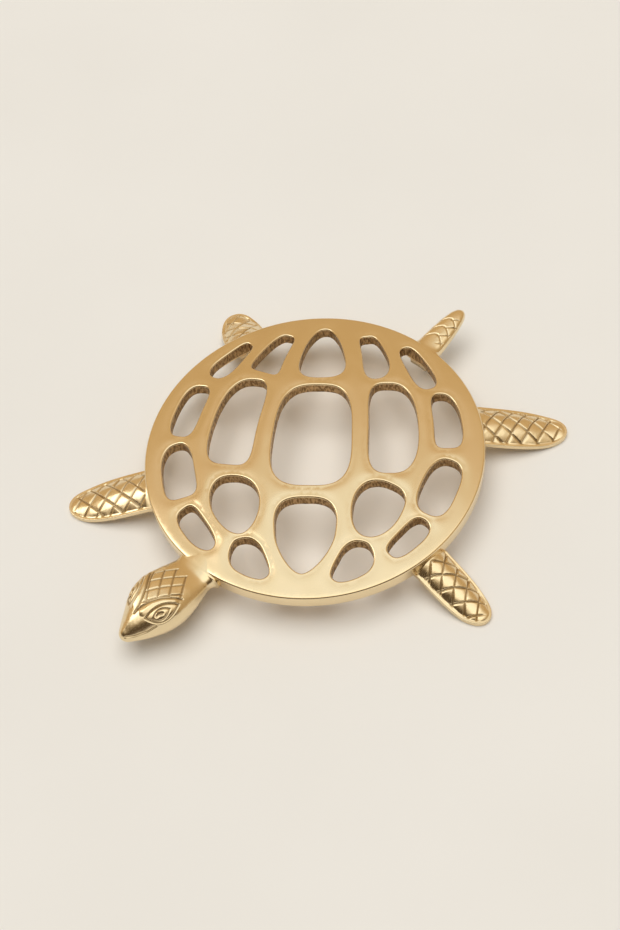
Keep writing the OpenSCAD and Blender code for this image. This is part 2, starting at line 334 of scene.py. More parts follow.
def within(plan, radius):
    """Plan points drawn in to a radius where they lie beyond it."""
    distance = np.linalg.norm(plan, axis=1, keepdims=True)
    return plan * np.minimum(1, radius / distance)


def opening_ring(row):
    """Plan outline of one opening, evenly spaced."""
    x, y, half_w, half_l, turn, tail_fullness, taper, bow, head_fullness = row
    t = np.linspace(0, 2 * math.pi, OUTLINE_STEPS + 1)
    fullness = np.where(np.sin(t) < 0, head_fullness, tail_fullness)
    across = signed_power(np.cos(t), 2 / fullness)
    along = signed_power(np.sin(t), 2 / fullness)
    outline = np.stack([half_w * across * (1 + taper * along) + bow * (1 - along ** 2), half_l * along], 1)
    outline = (turned(outline, turn) + (x, y)) * FIELD_R / 100
    outline = turned(outline, PATTERN_TURN)
    length = np.concatenate([[0], np.cumsum(np.linalg.norm(np.diff(outline, axis=0), axis=1))])
    places = np.linspace(0, length[-1], int(length[-1] / OPENING_STEP) + 1)[:-1]
    return np.stack([np.interp(places, length, outline[:, k]) for k in (0, 1)], 1)


def outward(ring):
    """Unit normals in plan that point away from a ring's middle."""
    along = np.roll(ring, -1, 0) - np.roll(ring, 1, 0)
    normals = np.stack([along[:, 1], -along[:, 0]], 1)
    normals /= np.linalg.norm(normals, axis=1)[:, None]
    return normals * np.sign((normals * (ring - ring.mean(0))).sum(1).mean())


def finer(ring):
    """A ring with three more points on each of its edges."""
    return np.concatenate([ring + (np.roll(ring, -1, 0) - ring) * share for share in (0, 0.25, 0.5, 0.75)])


def edge_section():
    """Offset from an opening's outline and depth below the dome, round the opening's upper edge."""
    return [(EDGE_ROUND + x, -y) for x, y in arc((0, -EDGE_ROUND), EDGE_ROUND, 90, 180, EDGE_STEPS)]


def rim_section():
    """Distance from the axis and height round the rim, from the dome's edge to the hollow underneath."""
    middle_r = SHELL_R - RIM_EDGE_R
    middle_z = DOME_Z + math.sqrt((DOME_R - RIM_EDGE_R) ** 2 - middle_r ** 2)
    lean = math.degrees(math.asin(middle_r / (DOME_R - RIM_EDGE_R)))
    top = arc((middle_r, middle_z), RIM_EDGE_R, 90 - lean, 0, RIM_EDGE_STEPS)
    side = (SHELL_R, middle_z - RIM_SIDE_START)
    foot = arc((SHELL_R - RIM_FOOT_R, RIM_BOTTOM + RIM_FOOT_R), RIM_FOOT_R, 0, -90, RIM_FOOT_STEPS)
    land_end = (LAND_IN_R + LAND_STEP_R, RIM_BOTTOM + LAND_STEP_R)
    return top + [side] + foot + arc(land_end, LAND_STEP_R, -90, -180, LAND_STEP_STEPS)


def round_ring(radius, steps=RIM_STEPS):
    """Plan points of a circle about the axis."""
    angles = np.linspace(0, 2 * math.pi, steps, endpoint=False)
    return radius * np.stack([np.cos(angles), np.sin(angles)], 1)


def add_top(surface, radius, rings, normals, edges):
    """Adds the polished dome and returns its rows of points along the rim and along the openings."""
    outer = round_ring(radius)
    holes = [ring + normal * (EDGE_ROUND + EDGE_SUPPORT) for ring, normal in zip(rings, normals)]
    plan, triangles = region(outer, holes, TOP_SPACING)
    points = np.c_[plan, dome_height(plan, DOME_R) - shoulder(plan, edges)]
    height, wavelength, seed = TOP_WAVE
    share = ease(SHELL_R - TOP_WAVE_START, SHELL_R - TOP_WAVE_FULL, np.linalg.norm(plan, axis=1))
    points[:, 2] -= height * share * (1 + ripple(points, wavelength, seed))
    numbers = surface.add(points)
    surface.fill(numbers[triangles], POLISHED)
    return edge_rows(numbers, outer, holes)


def add_underside(surface, rings, normals):
    """Adds the rough hollow and returns its rows of points along the land and along the openings."""
    outer = round_ring(LAND_IN_R)
    holes = [within(r + n * UNDER_ROUND, LAND_IN_R - LAND_GAP) for r, n in zip(rings, normals)]
    plan, triangles = region(outer, holes, UNDER_SPACING)
    points = np.c_[plan, dome_height(plan, HOLLOW_R)]
    height, wavelength, seed = UNDER_WAVE
    share = ease(LAND_IN_R, LAND_IN_R - UNDER_WAVE_FULL, np.linalg.norm(plan, axis=1))
    points[:, 2] += height * share * ripple(points, wavelength, seed)
    numbers = surface.add(points)
    surface.fill(numbers[triangles], UNDER)
    return edge_rows(numbers, outer, holes)


def add_opening(surface, edges, ring, normal, top_row, under_row):
    """Adds an opening's rounded upper edge and its rough, upright wall."""
    rounded = [top_row]
    for offset, depth in edge_section():
        plan = ring + normal * offset
        height = dome_height(plan, DOME_R) - shoulder(plan, edges) - depth
        rounded.append(surface.add(np.c_[plan, height]))
    surface.strip(rounded, True, POLISHED)

    wall = [rounded[-1]]
    upper = dome_height(ring, DOME_R) - shoulder(ring, edges) - EDGE_ROUND
    lower = dome_height(ring, HOLLOW_R) + UNDER_ROUND
    foot = within(ring, LAND_IN_R - LAND_GAP - UNDER_ROUND)
    for share in np.linspace(0, 1, WALL_STEPS + 1)[1:]:
        plan = ring + share * (foot - ring)
        points = np.c_[plan, upper + share * (lower - upper)]
        uneven = sum(height * ripple(points, wavelength, seed) for height, wavelength, seed in WALL_WAVES)
        points[:, :2] += normal * uneven[:, None]
        wall.append(surface.add(points))
    surface.strip(wall + [under_row], True, WALL)


def add_rim(surface, section, top_row, under_row):
    """Adds the rim with the land underneath, and the step from the land up into the hollow."""
    rows = [top_row]
    for radius, height in section:
        rows.append(surface.add(np.c_[round_ring(radius), np.full(RIM_STEPS, height)]))
    step_rows = LAND_STEP_STEPS + 1
    surface.strip(rows[:-step_rows], True, POLISHED)
    surface.strip(rows[-step_rows - 1:] + [under_row], True, UNDER)


def shell_surface():
    """The pierced dome with rounded openings, its rim and its rough underside."""
    surface = Surface()
    rings = [opening_ring(row) for row in OPENINGS]
    normals = [outward(ring) for ring in rings]
    edges = [finer(ring) for ring in rings]
    section = rim_section()
    dome_edge_r = section[0][0]
    rim_row, *top_rows = add_top(surface, dome_edge_r, rings, normals, edges)
    land_row, *under_rows = add_underside(surface, rings, normals)
    for opening in zip(rings, normals, top_rows, under_rows):
        add_opening(surface, edges, *opening)
    add_rim(surface, section[1:], rim_row, land_row)
    return surface


# Limbs

SCREW_D = 2.7
SCREW_HEAD_D = 4.9
SCREW_STEPS = 36
LUG_BEVEL = 0.4
LUG_REACH = 0.5
LUG_GAP = 0.01
LUG_STEPS = 10

# Shortest normal that is divided by its own length
TINY = 1e-9

# Factors of a repeatable draw for each cell of a hatch, from its column and its row
DRAW_COLUMN, DRAW_ROW, DRAW_SCALE = 12.9898, 78.233, 4375.85


def placed(points, name):
    """Points from a limb's own frame, set at its root on the rim's edge."""
    root, aim = (math.radians(a) for a in PLACES[name])
    along = np.array([math.cos(aim), math.sin(aim), 0])
    across = np.array([-math.sin(aim), math.cos(aim), 0])
    upward = np.array([0, 0, 1])
    origin = SHELL_R * np.array([math.cos(root), math.sin(root), 0])
    return origin + points[..., :1] * along + points[..., 1:2] * across + points[..., 2:] * upward


def add_lug(surface, name, width):
    """Adds the tongue that is screwed to the land under the rim, with its countersunk hole."""
    end = SHELL_R + LUG_REACH
    sink = (SCREW_HEAD_D - SCREW_D) / 2
    spread = np.degrees(np.arcsin(width / 2 / LAND_IN_R))
    inner = np.array(arc((0, 0), LAND_IN_R, -spread, spread, LUG_STEPS))
    outline = np.concatenate([inner, [(end, width / 2), (end, -width / 2)]])
    small_half = width / 2 - LUG_BEVEL
    small = np.clip(outline, (0, -small_half), (end - LUG_BEVEL, small_half))
    small[:len(inner), 0] += LUG_BEVEL
    hole = round_ring(1, SCREW_STEPS)
    turn = PLACES[name][0]

    def lifted(plan, height):
        return np.c_[turned(plan, turn), np.full(len(plan), height)]

    def face(ring, hole_d, height):
        plan, triangles = region(ring, [hole * hole_d / 2 + (SCREW_R, 0)], 0)
        numbers = surface.add(lifted(plan, height))
        surface.fill(numbers[triangles])
        return numbers[:len(ring)], numbers[len(ring):]

    low_ring, low_hole = face(small, SCREW_HEAD_D, LUG_BOTTOM)
    top_ring, top_hole = face(outline, SCREW_D, RIM_BOTTOM - LUG_GAP)
    side = surface.add(lifted(outline, LUG_BOTTOM + LUG_BEVEL))
    bore = surface.add(lifted(hole * SCREW_D / 2 + (SCREW_R, 0), LUG_BOTTOM + sink))
    surface.strip([low_ring, side, top_ring], True)
    surface.strip([low_hole, bore, top_hole], True)


def hatch_place(x, y, lines):
    """Place between parallel lines in steps. Lines have an angle, one crossing of the axis and a step."""
    angle, start, step = lines
    return (x - start - y / math.tan(math.radians(angle))) / step


def hatch_distance(x, y, lines):
    """Distance from the nearest of parallel lines."""
    place = hatch_place(x, y, lines)
    return np.abs(place - np.round(place)) * lines[2] * abs(math.sin(math.radians(lines[0])))


def cell_lean(forward, backward, seed):
    """Height of a hatch's cells when each leans its own way, for places counted in steps."""
    column, row = np.floor(forward), np.floor(backward)
    draw = np.modf(np.abs(np.sin(DRAW_COLUMN * column + DRAW_ROW * row + seed)) * DRAW_SCALE)[0]
    turn = 2 * math.pi * draw
    return np.cos(turn) * (forward - column - 0.5) + np.sin(turn) * (backward - row - 0.5)


def v_cut(distance, width):
    """Share of a V-cut's full depth at a distance from its middle."""
    return np.clip(1 - 2 * distance / width, 0, 1)


def grid_normals(points, closed=False):
    """Unit normals of a grid of points, upwards on its top."""
    along = np.gradient(points, axis=0)
    across = np.roll(points, -1, 1) - np.roll(points, 1, 1) if closed else np.gradient(points, axis=1)
    normals = np.cross(across, along)
    return normals / np.maximum(np.linalg.norm(normals, axis=-1, keepdims=True), TINY)


# Flippers

LIP_W = 1.05
LIP_START = 0.12
LIP_ROUND = 0.3
LIP_STEPS = 5
EDGE_H = 2.2
LEAF_TIP, LEAF_SIDE = 3.2, 2.2
CROWN_POWER = 2.05
CROWN_TIP, CROWN_FALL = 3.4, 0.8
CROWN_WAVE = (0.05, 5, 11)
FOOT_LEN = 8.0
FOOT_SOFTNESS = 0.05
LUG_STEP = 0.15
FLIPPER_LUG_W = 13.0
ROOT_REACH = 3.0
FLIPPER_STATIONS = 170
FLIPPER_CROWDING = 2
FLIPPER_ACROSS = 120
FACET_MARGIN = 0.06

# The hatch: its cuts and padded cells, and where it fades towards the lip, the root and the tip
CUT_W = 1.05
CUT_DEPTH = 0.7
PILLOW = 0.17
PILLOW_REACH = 1.1
CELL_LEAN = 0.3
LIP_FADE = (0.95, 0.995)
ROOT_FADE = (0.0, 2.0)
TIP_FADE = (0.9, 0.98)

# Waves by which the hatch lines wander: height, radians per millimetre along and across, and phase
HATCH_WANDER = [(0.16, 0, 0.37, 0.9), (0.12, 0.61, 0.4, 0)]

# Each flipper's length, width and height of crown, and its two sets of hatch lines
FLIPPERS = {
    "front_left": (32.0, 17.5, 4.6, (52.3, 8.5, 6.9), (-55.7, 6.6, 6.5)),
    "front_right": (37.5, 21.5, 3.8, (59.1, 5.1, 7.0), (-44.9, 12.5, 8.7)),
    "rear_left": (38.5, 20.5, 3.7, (59, 9.9, 6.3), (-44, 8.4, 9.0)),
    "rear_right": (27.5, 20.0, 3.8, (56, 6.5, 6.5), (-50, 8.0, 7.5)),
}


def leaf(share):
    """Half width of a leaf outline at a share of its length, 1 at the root."""
    return (1 - share ** LEAF_TIP) ** (1 / LEAF_SIDE)


def flipper_bottom(x, length):
    """Height of a flipper's underside: from just above the lug's face, down a slope, to a flat foot."""
    share = 1 - x / (length - FOOT_LEN)
    slope = LUG_BOTTOM * FOOT_SOFTNESS * np.log1p(np.exp(share / FOOT_SOFTNESS))
    return np.minimum(LUG_BOTTOM + LUG_STEP, slope)


def lip_section():
    """Offset from the crown's foot and drop below it, round a flipper's plain edge."""
    middle = LIP_W - LIP_ROUND
    upper = arc((middle, -LIP_ROUND), LIP_ROUND, 90, 0, LIP_STEPS)
    lower = arc((middle, LIP_ROUND - EDGE_H), LIP_ROUND, 0, -90, LIP_STEPS)
    return [(LIP_START, 0)] + upper + lower


def flipper_hatch(name, crown, across, crown_len):
    """Share of the cuts, depth of the whole relief and share inside the lip, over a flipper's crown."""
    forward, backward = FLIPPERS[name][3:]
    seed = len(name)
    x, y = crown[..., 0], crown[..., 1]
    wander = sum(
        height * np.sin(along * x + aside * y + phase)
        for height, along, aside, phase in HATCH_WANDER
    )
    places = (hatch_place(x + wander, y, forward), hatch_place(x - wander, y, backward))
    distance = np.minimum(
        hatch_distance(x + wander, y, forward),
        hatch_distance(x - wander, y, backward),
    )
    lean = CELL_LEAN * cell_lean(*places, seed)
    inside_lip = 1 - ease(*LIP_FADE, np.abs(across))[None] * np.ones_like(x)
    ends = ease(*ROOT_FADE, x) * (1 - ease(*TIP_FADE, x / crown_len))
    cut = v_cut(distance, CUT_W)
    level = (1 - cut) * (lean + CELL_LEAN / 2)
    depth = inside_lip * ends * (CUT_DEPTH * cut + PILLOW * np.exp(-distance / PILLOW_REACH) + level)
    return cut * inside_lip * ends, depth, inside_lip


def add_crown(surface, name, x, half, foot, rise):
    """Adds a flipper's hatched crown and returns its rows of points and the point at its tip."""
    across = np.linspace(1, -1, FLIPPER_ACROSS)
    up = 1 - np.abs(across) ** CROWN_POWER
    crown = np.stack([
        np.broadcast_to(x[:, None], (len(x), len(across))),
        half[:, None] * across,
        foot[:, None] + rise[:, None] * up,
    ], -1)[:-1]
    cut, depth, inside_lip = flipper_hatch(name, crown, across, x[-1])
    crown = crown - grid_normals(crown) * depth[..., None]
    height, wavelength, seed = CROWN_WAVE
    crown[..., 2] += height * inside_lip * ripple(crown, wavelength, seed)
    rows = surface.add(placed(crown, name), cut)
    tip = surface.add(placed(np.array([[x[-1], 0, foot[-1]]]), name))[0]
    surface.strip(rows)
    surface.fan(rows[-1], tip)
    return rows, tip


def add_lip(surface, name, x, half, foot, crown_edge):
    """Adds the plain lip from the root round the tip and back, and returns its loops of points."""
    side = np.stack([x[:-1], half[:-1]], 1)
    path = np.concatenate([side, [(x[-1], 0)], side[::-1] * (1, -1)])
    heights = np.concatenate([foot, foot[-2::-1]])
    run = np.gradient(path, axis=0)
    out = np.stack([-run[:, 1], run[:, 0]], 1)
    out *= np.sign(out[0, 1]) / np.linalg.norm(out, axis=1)[:, None]
    loops = [crown_edge]
    for offset, drop in lip_section():
        loop = np.c_[path + out * offset, heights + drop]
        loops.append(surface.add(placed(loop, name)))
    surface.strip(loops)
    return loops


def close_flipper(surface, loops, root_row):
    """Adds a flipper's smooth underside and the face at its root, inside the rim."""
    low = loops[-1]
    count = len(low) // 2
    surface.strip(np.stack([low[:count], low[:count:-1]], 1))
    surface.fill([(low[count - 1], low[count], low[count + 1])])
    left = [loop[-1] for loop in loops[1:]]
    right = [loop[0] for loop in loops[:0:-1]]
    surface.fill([list(root_row) + left + right])


def flipper_surface(name):
    """A flipper with a plain lip round a convex crown that is cut with a diagonal hatch."""
    length, width, crown_h = FLIPPERS[name][:3]
    surface = Surface()
    crown_len = length - LIP_W - FACET_MARGIN
    steps = np.linspace(0, 1, FLIPPER_STATIONS)
    x = np.concatenate([[-ROOT_REACH, -ROOT_REACH / 2], crown_len * (1 - (1 - steps) ** FLIPPER_CROWDING)])
    share = np.clip(x / crown_len, 0, 1)
    half = (width / 2 - LIP_W) * leaf(share)
    foot = flipper_bottom(x, length) + EDGE_H
    rise = crown_h * (1 - share ** CROWN_TIP) ** CROWN_FALL
    rows, tip = add_crown(surface, name, x, half, foot, rise)
    crown_edge = np.concatenate([rows[:, 0], [tip], rows[::-1, -1]])
    loops = add_lip(surface, name, x, half, foot, crown_edge)
    close_flipper(surface, loops, rows[0])
    add_lug(surface, name, FLIPPER_LUG_W)
    return surface


# Head and tail

# A row gives the distance from the rim, the half width, the heights of the top and the bottom, the fullness
# of the section and the share of its height at which it is widest.
HEAD_ROWS = [
    (-5, 5.0, 20.1, 11.0, 2.6, 0.5),
    (-2.2, 7.6, 19.7, 9.6, 2.6, 0.5),
    (0.6, 9.4, 19.35, 9.3, 2.5, 0.5),
    (3.92, 10.22, 19.5, 8.82, 2.3, 0.5),
    (11.75, 12.31, 22.4, 6.96, 2.3, 0.5),
    (19.79, 13.3, 24.2, 6.0, 2.4, 0.5),
    (27.62, 11.84, 23.42, 6.64, 2.2, 0.46),
    (35.67, 7.6, 20.5, 8.24, 1.8, 0.38),
    (40.46, 4.3, 17.6, 10.3, 1.8, 0.36),
    (42.4, 2.75, 16.2, 11.3, 1.9, 0.36),
    (43.3, 1.2, 14.9, 12.5, 2.2, 0.4),
    (43.5, 0.35, 14.2, 13.2, 2.2, 0.5),
]
TAIL_ROWS = [
    (-5, 6.4, 19.6, 10.5, 2.6, 0.5),
    (-1.6, 6.4, 19.36, 10.5, 2.5, 0.5),
    (0.6, 6.35, 18.98, 10.8, 2.4, 0.5),
    (4.13, 6.21, 19.0, 11.35, 2.3, 0.5),
    (13.75, 5.38, 19.3, 12.5, 2.2, 0.5),
    (22, 3.97, 19.3, 13.7, 2.2, 0.5),
    (25.85, 2.43, 18.5, 14.5, 2.2, 0.5),
    (27.5, 0.51, 17.1, 15.9, 2.2, 0.5),
]
STATION_CROWDING = 1.6
RIM_FOLLOW = (1, 9)
LIMB_WAVE = (0.04, 5, 17)
LIMB_WAVE_START = (3, 8)
FULL_GROOVE = 0.5
BOW_STEPS = 10


def stroke(x, s, points, width, depth):
    """Depth of a V-cut along a line of points in the unrolled surface."""
    points = np.array(points, float)
    nearest = np.full(x.shape, np.inf)
    for a, b in zip(points[:-1], points[1:]):
        run = b - a
        share = np.clip(((x - a[0]) * run[0] + (s - a[1]) * run[1]) / (run @ run), 0, 1)
        nearest = np.minimum(nearest, np.hypot(x - a[0] - share * run[0], s - a[1] - share * run[1]))
    return depth * v_cut(nearest, width)


def mound(x, s, centre, radii, turn):
    """A smooth swelling about a point of the unrolled surface, 1 in the middle."""
    c, t = math.cos(math.radians(turn)), math.sin(math.radians(turn))
    u = ((x - centre[0]) * c + (s - centre[1]) * t) / radii[0]
    v = ((s - centre[1]) * c - (x - centre[0]) * t) / radii[1]
    return np.exp(-(u ** 2 + v ** 2))


def bowed(start, end, rise):
    """Points of a stroke that bows to the left of its run by a rise, between two points."""
    start, end = np.array(start, float), np.array(end, float)
    share = np.linspace(0, 1, BOW_STEPS + 1)[:, None]
    run = end - start
    left = np.array([-run[1], run[0]]) / np.linalg.norm(run)
    return start + run * share + left * rise * 4 * share * (1 - share)


# The head's carving in its unrolled surface. A point gives the distance along the head and the arc length
# from the ridge. Each stroke has a width and a depth, and the brows and eyes are the same on both sides.
CROWN_LINES = [(32.8, 11.0, 8.5), (-38.7, 11.0, 7.6)]
CROWN_W, CROWN_DEPTH = 1.1, 0.5
BROW = [(33.5, 0.2), (30.2, 0.6), (27.2, 1.7), (22.6, 4.2), (18.7, 7.4), (15.7, 10.6)]
BROW_RIDGE = [(31, 2.9), (26, 3.9), (22, 6.3), (18.5, 9.4)]
BROW_RIDGE_W, BROW_RIDGE_H = 3.6, 0.5
FRONT_CORNER, REAR_CORNER = (32.0, 5.6), (18.4, 11.6)
IRIS_FRONT, IRIS_REAR = (30.4, 8.4), (22.4, 10.6)
EYE_STROKES = [
    (BROW, 1.2, 0.65),
    (bowed(FRONT_CORNER, REAR_CORNER, 2.1), 1.1, 0.6),
    (bowed(FRONT_CORNER, REAR_CORNER, -4.6), 1.1, 0.55),
    (bowed(IRIS_FRONT, IRIS_REAR, 2.0), 0.9, 0.5),
    (bowed(IRIS_FRONT, IRIS_REAR, -2.2), 0.8, 0.45),
    (bowed((28.0, 8.7), (25.8, 9.6), 0.3), 1.8, 0.6),
]
EYEBALL_H = 0.55
EYEBALL_CENTRE, EYEBALL_RADII, EYEBALL_TURN = (26.6, 9.6), (4.2, 2.6), -14
MOUTH = [(30.5, 11.3), (34.4, 9.8), (39.2, 6.3), (42.3, 2.9)]
MOUTH_W, MOUTH_DEPTH = 0.9, 0.4

# The crown's lattice lies in front of two slanting edges, each with a place on the ridge and a slope away
# from it. The lattice fades at these edges, towards the snout and towards the brows.
CROWN_BACK_EDGES = [(11, -1.55), (3.4, 1.25)]
CROWN_BACK_FADE = (-0.9, -0.5)
CROWN_SNOUT_FADE = (27.5, 29)
CROWN_BROW_FADE = (-0.9, -0.2)


def head_cuts(x, s):
    """Depth of the head's cuts, and of its whole carving, which is below 0 where it swells."""
    away = np.abs(s)
    crossing = np.minimum(*(hatch_distance(x, s, lines) for lines in CROWN_LINES))
    brow_x, brow_s = np.array(BROW).T
    brow_edge = np.interp(x, brow_x[::-1], brow_s[::-1])
    back_edge = np.maximum(*(start + slope * away for start, slope in CROWN_BACK_EDGES))
    started = ease(*CROWN_BACK_FADE, x - back_edge)
    field = started * (1 - ease(*CROWN_SNOUT_FADE, x)) * (1 - ease(*CROWN_BROW_FADE, away - brow_edge))
    cut = CROWN_DEPTH * field * v_cut(crossing, CROWN_W)
    cut = np.maximum(cut, stroke(x, away, MOUTH, MOUTH_W, MOUTH_DEPTH))
    for points, width, depth in EYE_STROKES:
        cut = np.maximum(cut, stroke(x, away, points, width, depth))
    ridge = stroke(x, away, BROW_RIDGE, BROW_RIDGE_W, BROW_RIDGE_H)
    eyeball = EYEBALL_H * mound(x, away, EYEBALL_CENTRE, EYEBALL_RADII, EYEBALL_TURN)
    return cut, cut - (ridge + eyeball)


# The tail's carving: arched cuts on both sides of the ridge, and straight ones across them on one side
TAIL_ARCHES = (-46, 8.3, 5.4)
TAIL_ARCH_ROUND = 2.0
TAIL_LINES = (52, 7.5, 5.4)
TAIL_CUT_W, TAIL_CUT_DEPTH = 0.9, 0.4
TAIL_ROOT_FADE = (3.5, 5)
TAIL_TIP_FADE = (20, 21.5)
TAIL_SIDE_FADE = (4.6, 5.4)


def tail_cuts(x, s):
    """Depth of the tail's cuts, and of its whole carving, which is the same."""
    arched = np.sqrt(s ** 2 + TAIL_ARCH_ROUND ** 2) - TAIL_ARCH_ROUND
    arches = hatch_distance(x, arched, TAIL_ARCHES)
    crossing = np.where(s > 0, np.minimum(arches, hatch_distance(x, s, TAIL_LINES)), arches)
    ends = ease(*TAIL_ROOT_FADE, x) * (1 - ease(*TAIL_TIP_FADE, x))
    field = ends * (1 - ease(*TAIL_SIDE_FADE, np.abs(s)))
    cut = field * TAIL_CUT_DEPTH * v_cut(crossing, TAIL_CUT_W)
    return cut, cut


def round_grid(rows, stations, around, flare):
    """A grid of points on a rounded limb, with stations along it and sections that widen into the rim."""
    start, end = rows[0][0], rows[-1][0]
    steps = np.linspace(0, 1, stations)
    x = start + (end - start) * (1 - (1 - steps) ** STATION_CROWDING)
    half, top, bottom, fullness, waist = (column[:, None] for column in smooth_rows(rows, x))
    bend = np.clip(1 - x / flare, 0, 1)
    half = half + (flare * (1 - np.sqrt(1 - bend ** 2)))[:, None]
    angle = np.linspace(0, 2 * math.pi, around, endpoint=False)[None]
    y = half * signed_power(np.cos(angle), 2 / fullness)
    up = signed_power(np.sin(angle), 2 / fullness)
    widest = bottom + waist * (top - bottom)
    z = widest + np.where(up > 0, top - widest, widest - bottom) * up
    return np.stack([np.broadcast_to(x[:, None], y.shape), y, z], -1)


def ridge_distance(grid):
    """Arc length from the ridge round each section of a grid, less than 0 on the limb's left."""
    stations, around = grid.shape[:2]
    pieces = np.linalg.norm(np.diff(grid[..., 1:], axis=1, append=grid[:, :1, 1:]), axis=-1)
    length = np.concatenate([np.zeros((stations, 1)), np.cumsum(pieces, 1)[:, :-1]], 1)
    girth = pieces.sum(1, keepdims=True)
    crest = length[:, around // 4:around // 4 + 1]
    return (length - crest + girth / 2) % girth - girth / 2


def round_surface(name, rows, cuts, stations, around, flare, ridge_shift, lug_w):
    """A rounded limb that flows out of the rim, with its carving cut into the surface."""
    surface = Surface()
    grid = round_grid(rows, stations, around, flare)
    x = grid[..., 0].copy()
    cut, depth = cuts(x, ridge_distance(grid) - ridge_shift)
    follow = (1 - ease(*RIM_FOLLOW, x)) * (np.sqrt(SHELL_R ** 2 - grid[..., 1] ** 2) - SHELL_R)
    grid = grid - grid_normals(grid, True) * depth[..., None]
    grid[..., 0] += follow
    height, wavelength, seed = LIMB_WAVE
    grid[..., 2] += height * ease(*LIMB_WAVE_START, x) * ripple(grid, wavelength, seed)

    numbers = surface.add(placed(grid, name), np.clip(cut / FULL_GROOVE, 0, 1))
    surface.strip(numbers, True)
    surface.fill([list(numbers[0])])
    tip = grid[-1].mean(0, keepdims=True)
    surface.fan(numbers[-1], surface.add(placed(tip, name))[0], True)
    add_lug(surface, name, lug_w)
    return surface


# Materials

# Colours, then textures in features per metre with their depths in metres
BRASS = (0.87, 0.72, 0.47)
BRASS_WARM = (0.85, 0.695, 0.44)
PATINA = (0.24, 0.15, 0.06)
# The openings' walls are painted dark brown. This is painted shade for the shadow and dark reflections
# inside the openings, speckled like rough cast metal.
WALL_SHADE_BROWN = (0.56, 0.38, 0.19)
WALL_SHADE_DARK = (0.22, 0.13, 0.055)
UNDER_BRASS = (0.95, 0.76, 0.47)
UNDER_DULL = (0.89, 0.68, 0.39)
FLOOR_DULL = (0.845, 0.795, 0.71)
FLOOR_PALE = (0.865, 0.815, 0.73)
CLOUDS = 70
GRAIN = 1500
GRAIN_STRETCH = (1, 0.25, 1)
GRAIN_DEPTH = 0.0001
GROOVE_DARK = 0.75
GROOVE_ROUGH = 0.2
SPECKS = 900
PITS = 1400
PIT_DEPTH = 0.0003
PIT_STRENGTH = 0.5
CAST_ROUGHNESS = (0.38, 0.6)
MOTTLES = 9
FLOOR_GRAIN = 60
FLOOR_ROUGHNESS = (0.75, 0.85)
FLOOR_SHEEN = 0.2


def set_input(socket, value):
    """Gives an input a value, or a link to another node's output."""
    if isinstance(value, bpy.types.NodeSocket):
        socket.id_data.links.new(value, socket)
    else:
        socket.default_value = value


def node_adder(tree):
    """Clears a node tree and returns a helper that adds nodes to it, with their inputs and settings."""
    tree.nodes.clear()

    def add(kind, inputs=None, **settings):
        node = tree.nodes.new(kind)
        for key, value in settings.items():
            setattr(node, key, value)
        for key, value in (inputs or {}).items():
            set_input(node.inputs[key], value)
        return node

    return add


def node_material(name):
    """A new node material, and a helper that adds its nodes."""
    material = bpy.data.materials.new(name)
    material.use_nodes = True
    return material, node_adder(material.node_tree)


def add_shader(add, inputs):
    """Adds the shader of a material with its inputs, and the output."""
    shader = add("ShaderNodeBsdfPrincipled", inputs)
    add("ShaderNodeOutputMaterial", {"Surface": shader.outputs["BSDF"]})


def noise(add, scale, detail, stretch=(1, 1, 1)):
    """Noise in the part's own space, in features per metre."""
    place = add("ShaderNodeTexCoord").outputs["Object"]
    shifted = add("ShaderNodeMapping", {"Vector": place, "Scale": stretch}).outputs["Vector"]
    return add("ShaderNodeTexNoise", {"Vector": shifted, "Scale": scale, "Detail": detail}).outputs["Fac"]


def ramp(add, fac, stops):
    """A colour ramp through (position, colour) stops."""
    node = add("ShaderNodeValToRGB", {"Fac": fac})
    elements = node.color_ramp.elements
    while len(elements) < len(stops):
        elements.new(0.5)
    for element, (position, colour) in zip(elements, stops):
        element.position = position
        element.color = (*colour, 1)
    return node.outputs["Color"]


def span(add, value, low, high):
    """A value from 0 to 1 spread between two limits."""
    return add("ShaderNodeMapRange", {"Value": value, "To Min": low, "To Max": high}).outputs["Result"]


def mixed(add, share, first, second):
    """A mix of two colours, each a plain colour or another node's output."""
    node = add("ShaderNodeMix", {"Factor": share}, data_type="RGBA")
    sockets = [socket for socket in node.inputs if socket.type == "RGBA"]
    for socket, colour in zip(sockets, (first, second)):
        set_input(socket, colour if isinstance(colour, bpy.types.NodeSocket) else (*colour, 1))
    return next(socket for socket in node.outputs if socket.type == "RGBA")


def brass(name, smooth, rough, grain):
    """Satin brass with a fine, brushed grain, darkened in the grooves."""
    material, add = node_material(name)
    clouds = ramp(add, noise(add, CLOUDS, detail=3), [(0.35, BRASS_WARM), (0.65, BRASS)])
    groove = add("ShaderNodeAttribute", attribute_name="groove").outputs["Fac"]
    dark = add("ShaderNodeMath", {0: groove, 1: GROOVE_DARK}, operation="MULTIPLY").outputs[0]
    brushed = noise(add, GRAIN, detail=4, stretch=GRAIN_STRETCH)
    satin = span(add, brushed, smooth, rough)
    worn = add("ShaderNodeMath", {0: groove, 1: GROOVE_ROUGH, 2: satin}, operation="MULTIPLY_ADD")
    bump = add("ShaderNodeBump", {"Height": brushed, "Strength": grain, "Distance": GRAIN_DEPTH})
    add_shader(add, {
        "Base Color": mixed(add, dark, clouds, PATINA),
        "Roughness": worn.outputs[0],
        "Normal": bump.outputs["Normal"],
        "Metallic": 1.0,
    })
    return material


